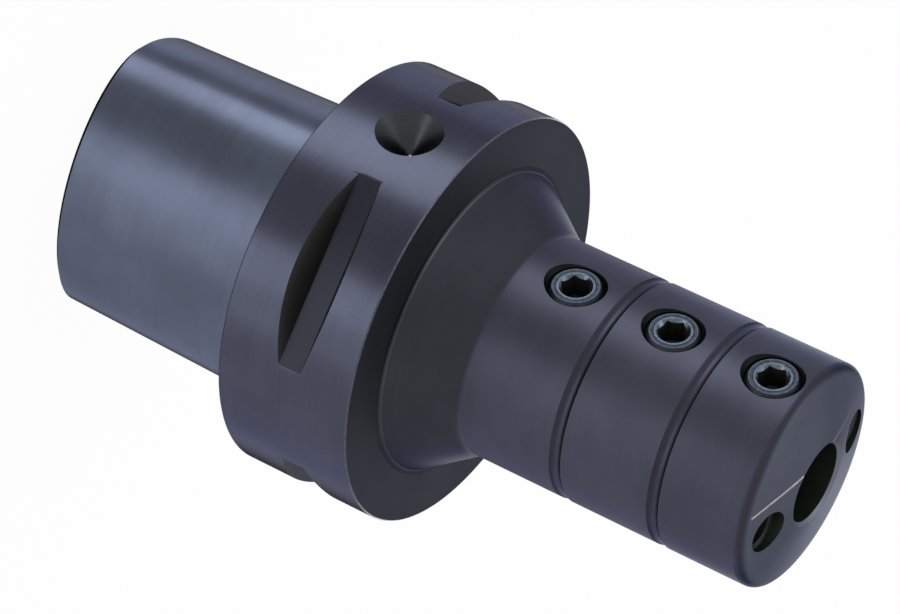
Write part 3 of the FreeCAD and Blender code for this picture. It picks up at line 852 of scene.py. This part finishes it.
def screwRings(kind):
    # from the bottom of the socket up its walls, over the end face and down the thread to the cup point
    form = screwForm
    hexagon, corner = hexagonOf(kind)
    depth = kind["socketDepth"]
    r = kind["diameter"] / 2
    end = r - kind["endChamfer"]
    walls = np.linspace(form["wallFrom"], form["wallTo"], form["wallRings"])
    head, headTags = ringsOf([
        # the socket's point, floor and walls carry the painted shade
        (hexagon * form["pointTip"], -depth - kind["flats"] * form["pointDepth"], "socketShade"),
        (hexagon * form["pointRim"], -depth, "socketShade"),
        (hexagon, -depth + form["floorRound"], "socketShade"),
        *[(hexagon, -depth * (1 - share), "socketShade") for share in walls],
        (hexagon, hexagon - corner - form["cornerBreak"], "screwCorner"),
        (corner + form["cornerBreak"], 0.0, "screwEnd"),
        (end * form["ringFrom"], 0.0, "screwOxide"),
        (end * form["ringFloor"], -form["ringDepth"], "screwOxide"),
        (end * form["ringTo"], 0.0, "screwRing"),
        # a thin ring of the bright end finish just inside the chamfer: a painted highlight of the chamfer's
        # edge
        (end * form["edgeHighlightFrom"], 0.0, "screwEnd"),
        (end * form["edgeHighlightTo"], 0.0, "screwOxide"),
        (end, -form["edgeDrop"], "screwOxide"),
        (r, -kind["endChamfer"] - form["chamferDrop"], "screwOxide"),
    ], kind["segments"])
    thread, threadTags = threadRings(kind, r, -kind["length"] + kind["endChamfer"],
                                     -kind["endChamfer"] - form["threadGap"])
    point, pointTags = ringsOf([
        (end, -kind["length"], "screwOxide"),
        (kind["cup"] / 2, -kind["length"], "screwOxide"),
        (kind["cup"] / 2 * form["cupTip"], -kind["length"] + kind["cupDepth"], "screwOxide"),
    ], kind["segments"])
    return np.array(head + thread + point), headTags + threadTags + pointTags


def stoodUp(rings, origin, direction, spin):
    # rings made along +Z are turned about Z by the spin, then Z is laid along the direction
    lean = Vector((0, 0, 1)).rotation_difference(Vector(direction)).to_matrix()
    turn = lean @ Matrix.Rotation(spin, 3, "Z")
    return rings @ np.array(turn).T + np.array(origin)


def makeScrew(name, kind, node, ridesOn, origin, direction, spin):
    rings, tags = screwRings(kind)
    piece = ringPiece(name, stoodUp(rings, origin, direction, math.radians(spin)), tags)
    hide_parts(node)
    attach(piece, ridesOn)


for (place, spin), height in zip(clampSpins.items(), screwHeights):
    makeScrew(place + "ClampScrew", clampScrew, "clamp_screw_" + place, place + "_clamp",
              (noseR - clampScrew["recess"], 0, height), (1, 0, 0), spin)
plugTop = faceHeight(coolantR) - coolantHoleSizes["mouthDepth"] - coolantPlug["recess"]
for place, side in (("left", 1), ("right", -1)):
    makeScrew(place + "CoolantPlug", coolantPlug, "coolant_plug_" + place, place + "_coolant_plug",
              (0, side * coolantR, plugTop), (0, 0, 1), coolantPlug["spin"] * side)
makeScrew("galleryPlug", galleryPlug, "gallery_plug", "gallery_closure",
          (0, -flangeR + galleryPlug["recess"], gallerySizes["height"]), (0, -1, 0), galleryPlug["spin"])
print("screws")


def stopRings():
    # one closed loop of rings: through the coolant hole, round the head, seal groove and stem, and back
    kind = stopScrew
    hexagon, corner = hexagonOf(kind)
    lead = kind["cornerBreak"]
    depth = kind["socketDepth"]
    hole = kind["hole"] / 2
    stem = kind["stemDiameter"] / 2
    head = kind["headDiameter"] / 2
    groove = kind["grooveDiameter"] / 2
    front = kind["front"]
    rear = kind["rear"]
    chamfer = kind["chamfer"]
    grooveEnd = kind["grooveFrom"] + kind["grooveWidth"]
    first, firstTags = ringsOf([
        # the front socket carries the painted shade
        (hole, front - depth, "socketShade"),
        (hexagon, front - depth, "socketShade"),
        (hexagon, front + hexagon - corner - lead, "screwCorner"),
        (corner + lead, front, "screwOxide"),
        (head - chamfer, front, "screwOxide"),
        (head, front - chamfer, "screwOxide"),
        (head, grooveEnd, "screwOxide"),
        (groove, grooveEnd, "screwOxide"),
        (groove, kind["grooveFrom"], "screwOxide"),
        (head, kind["grooveFrom"], "screwOxide"),
        (head, kind["shoulder"], "screwOxide"),
        (stem, kind["shoulder"], "screwOxide"),
    ], kind["segments"])
    thread, threadTags = threadRings(kind, stem, rear + chamfer, kind["shoulder"] - kind["threadGap"])
    back, backTags = ringsOf([
        (stem - chamfer, rear, "screwOxide"),
        (corner + lead, rear, "screwCorner"),
        # the rear socket carries the painted shade
        (hexagon, rear - hexagon + corner + lead, "socketShade"),
        (hexagon, rear + depth, "socketShade"),
        (hole, rear + depth, "socketShade"),
    ], kind["segments"])
    return np.array(first + thread + back), firstTags + threadTags + backTags


def makeStop():
    piece = ringPiece("backStop", *stopRings(), loop=True)
    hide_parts("stop_screw")
    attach(piece, "back_stop")


def makeSeal():
    # a ring of round section, with the faint flash line that moulded seals have
    across = turnAngles(sealRing["steps"])
    flash = sealRing["flash"] * np.maximum(0, np.cos(across)) ** sealRing["flashSharpness"]
    section = sealRing["section"] / 2 - sealRing["flash"] + flash
    radii = sealRing["ringRadius"] + section * np.cos(across)
    heights = sealRing["middle"] + section * np.sin(across)
    rings = np.array([levelRing(r, z, sealRing["segments"]) for r, z in zip(radii, heights)])
    piece = ringPiece("backStopSeal", rings, ["sealRubber"] * sealRing["steps"], loop=True)
    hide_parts("stop_screw_seal")
    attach(piece, "stop_seal")


makeStop()
makeSeal()
print("back stop and seal")


# camera: the part leans away from the picture plane by tilt, is rolled in it, and is turned about its own
# axis; its origin's place is in millimetres from the camera
cameraView = {"tilt": 24.005, "roll": 25.178, "turn": 40.0, "focalPixels": 4219.63, "imageWidth": 900,
              "sensorWidth": 36.0, "originRight": -15.062, "originDown": -6.485, "originAway": 615.202,
              "nearest": 0.01, "farthest": 50.0}


def partAxes():
    # the part's X, Y and Z in picture coordinates: right, down and away from the viewer
    tilt, roll, turn = [math.radians(cameraView[key]) for key in ("tilt", "roll", "turn")]
    along = np.array([math.cos(tilt) * math.cos(roll), math.cos(tilt) * math.sin(roll), -math.sin(tilt)])
    facing = np.array([-math.sin(tilt) * math.cos(roll), -math.sin(tilt) * math.sin(roll), -math.cos(tilt)])
    topRight = np.array([math.sin(roll), -math.cos(roll), 0.0])
    x = math.cos(turn) * facing + math.sin(turn) * topRight
    y = math.sin(turn) * facing - math.cos(turn) * topRight
    return np.array([x, y, along]).T


axesInPicture = partAxes()
originInPicture = np.array([cameraView["originRight"], cameraView["originDown"], cameraView["originAway"]])
cameraPlace = -axesInPicture.T @ originInPicture * mm
cameraTurn = axesInPicture.T @ np.diag([1.0, -1.0, -1.0])


def addCamera():
    # the focal length in pixels becomes millimetres through the sensor's width
    data = bpy.data.cameras.new("camera")
    data.sensor_width = cameraView["sensorWidth"]
    data.lens = cameraView["focalPixels"] * cameraView["sensorWidth"] / cameraView["imageWidth"]
    data.clip_start = cameraView["nearest"]
    data.clip_end = cameraView["farthest"]
    camera = linkedObject("camera", data)
    camera.matrix_world = Matrix.LocRotScale(Vector(cameraPlace), Matrix(cameraTurn.tolist()), None)
    bpy.context.scene.camera = camera


addCamera()
print("camera", cameraPlace)


# softboxes: each stands where a wall of the part, facing the given turn about its axis, mirrors it to the
# camera; walls that stand upright on the floor mirror what lies below its level, by the angle named down
softboxes = {
    "keyBand": {"facing": -9.0, "down": 27.0, "width": 0.62, "height": 0.40, "radiance": 4.7},
    "keyTail": {"facing": -20.0, "down": 25.0, "width": 0.50, "height": 0.60, "radiance": 2.1},
    "upperBand": {"facing": 30.0, "down": 22.0, "width": 0.83, "height": 0.80, "radiance": 5.0},
    "topBand": {"facing": 62.0, "down": 14.0, "width": 0.75, "height": 1.20, "radiance": 1.5},
    "lowerFill": {"facing": -36.0, "down": 22.0, "width": 1.40, "height": 0.80, "radiance": 1.0},
    "rearBand": {"facing": -105.0, "down": 8.0, "width": 1.00, "height": 0.70, "radiance": 2.8},
    "rearFill": {"facing": -75.0, "down": 8.0, "width": 0.80, "height": 0.70, "radiance": 1.9},
    "underFill": {"facing": -60.0, "down": 13.0, "width": 1.10, "height": 1.20, "radiance": 1.35},
}
softboxDistance = 1.6
lampColour = (0.92, 0.98, 1.0)
partMiddle = (0, 0, 0.02)
overhead = {"place": (0.25, -0.35, 0.9), "width": 0.6, "height": 0.6, "radiance": 1.5}
faceGlow = {"direction": (-0.78, -0.62, 0.05), "target": (0, 0, 0.08), "width": 0.8, "height": 0.5,
            "radiance": 1.8}


def addLamp(name, place, target, box):
    # the power is the radiance times pi times the area
    data = bpy.data.lights.new(name, "AREA")
    data.shape = "RECTANGLE"
    data.size = box["width"]
    data.size_y = box["height"]
    data.energy = box["radiance"] * math.pi * box["width"] * box["height"]
    data.color = lampColour
    aim = (Vector(target) - Vector(place)).to_track_quat("-Z", "Y")
    linkedObject(name, data).matrix_world = Matrix.LocRotScale(Vector(place), aim, None)


def mirrorDirection(facing, down):
    # an upright wall sends the camera's turn about the axis to the other side of its own
    cameraTurnAngle = math.atan2(cameraPlace[1], cameraPlace[0])
    wallTurn = math.radians(cameraView["turn"] - facing)
    turn = 2 * wallTurn - cameraTurnAngle
    level = math.cos(math.radians(down))
    return np.array([level * math.cos(turn), level * math.sin(turn), -math.sin(math.radians(down))])


# flags: dark cards that only mirrored rays meet, which keep the part's outermost edges from washing out
flags = {
    "topFlag": {"facing": 84.0, "down": 29.0, "width": 0.52, "height": 0.56},
    "lowFlag": {"facing": -82.0, "down": 29.0, "width": 0.64, "height": 0.56},
}
flagDistance = 1.5
flagFelt = {"dark": 0.02, "pale": 0.04, "grain": 60.0, "rough": 0.95}


def addFlag(name, flag):
    # an upright card across its direction: centre, plus and minus half its width and height
    away = mirrorDirection(flag["facing"], flag["down"])
    side = np.cross(away, [0.0, 0.0, 1.0])
    side /= np.linalg.norm(side)
    up = np.cross(side, away)
    centre = away * flagDistance + partMiddle
    signs = np.array([(-1, -1), (1, -1), (1, 1), (-1, 1)])
    corners = centre + signs[:, :1] * side * flag["width"] / 2 + signs[:, 1:] * up * flag["height"] / 2
    mesh = bpy.data.meshes.new(name)
    mesh.from_pydata(corners.tolist(), [], [(0, 1, 2, 3)])
    material, board = newMaterial(name)
    felt = board.noise(board.node("ShaderNodeTexCoord", None, None, "Object"), flagFelt["grain"])
    colour = board.blendColour(felt, grey(flagFelt["dark"]), grey(flagFelt["pale"]))
    finishMaterial(board, {"Base Color": colour, "Roughness": flagFelt["rough"], "Specular IOR Level": 0.0})
    mesh.materials.append(material)
    card = linkedObject(name, mesh)
    card.visible_camera = False
    card.visible_diffuse = False
    card.visible_shadow = False


for name, flag in flags.items():
    addFlag(name, flag)
for name, box in softboxes.items():
    addLamp(name, mirrorDirection(box["facing"], box["down"]) * softboxDistance, partMiddle, box)
addLamp("faceGlow", np.array(faceGlow["direction"]) * softboxDistance, faceGlow["target"], faceGlow)
addLamp("overhead", overhead["place"], partMiddle, overhead)
print("lamps")


# floor and backdrop: white wherever the camera or a mirrored ray looks, and a faint shadow on the floor
stageSizes = {"floorSize": 6.0, "floorGap": 0.02, "whiteShare": 0.97, "ambient": 0.55, "paperDark": 0.80,
              "paperPale": 0.82, "paperGrain": 40.0, "paperRough": 0.9, "paperShine": 0.1}


def seenShare(board):
    # 1 for rays from the camera and for mirrored and refracted ones, and 0 for the rest
    camera, glossy, through = board.node("ShaderNodeLightPath", None, None,
                                         ("Is Camera Ray", "Is Glossy Ray", "Is Transmission Ray"))
    return board.larger(board.larger(camera, glossy), through)


def addFloor():
    # a square just below the shank's end
    half = stageSizes["floorSize"] / 2
    low = -(bodySizes["shankLength"] + stageSizes["floorGap"]) * mm
    mesh = bpy.data.meshes.new("floor")
    mesh.from_pydata([(-half, -half, low), (half, -half, low), (half, half, low), (-half, half, low)], [],
                     [(0, 1, 2, 3)])
    material, board = newMaterial("floorWhite")
    grain = board.noise(board.node("ShaderNodeTexCoord", None, None, "Object"), stageSizes["paperGrain"])
    colour = board.blendColour(grain, grey(stageSizes["paperDark"]), grey(stageSizes["paperPale"]))
    paper = board.node("ShaderNodeBsdfPrincipled", None,
                       {"Base Color": colour, "Roughness": stageSizes["paperRough"],
                        "Specular IOR Level": stageSizes["paperShine"]})
    white = board.node("ShaderNodeEmission", None, {"Color": grey(1), "Strength": 1.0})
    share = seenShare(board) * stageSizes["whiteShare"]
    mixed = board.node("ShaderNodeMixShader", None, {0: share, 1: paper, 2: white})
    # from below it is clear, so that the part's underside can be looked at
    clear = board.node("ShaderNodeBsdfTransparent")
    under = board.node("ShaderNodeNewGeometry", None, None, "Backfacing")
    seen = board.node("ShaderNodeMixShader", None, {0: under, 1: mixed, 2: clear})
    board.node("ShaderNodeOutputMaterial", None, {"Surface": seen})
    mesh.materials.append(material)
    floor = linkedObject("floor", mesh)
    # mirrored rays and lamps below its level pass through it, and see the same white behind it
    floor.visible_glossy = False
    floor.visible_shadow = False


def setWorld():
    # full strength where it is seen, and the ambient share of it where it lights
    world = bpy.data.worlds.new("studio")
    world.use_nodes = True
    bpy.context.scene.world = world
    board = Board(world.node_tree)
    strength = stageSizes["ambient"] + seenShare(board) * (1 - stageSizes["ambient"])
    glow = board.node("ShaderNodeBackground", None, {"Color": grey(1), "Strength": strength})
    board.node("ShaderNodeOutputWorld", None, {"Surface": glow})


addFloor()
setWorld()
bpy.context.scene.view_settings.view_transform = "Standard"
print("floor and world")
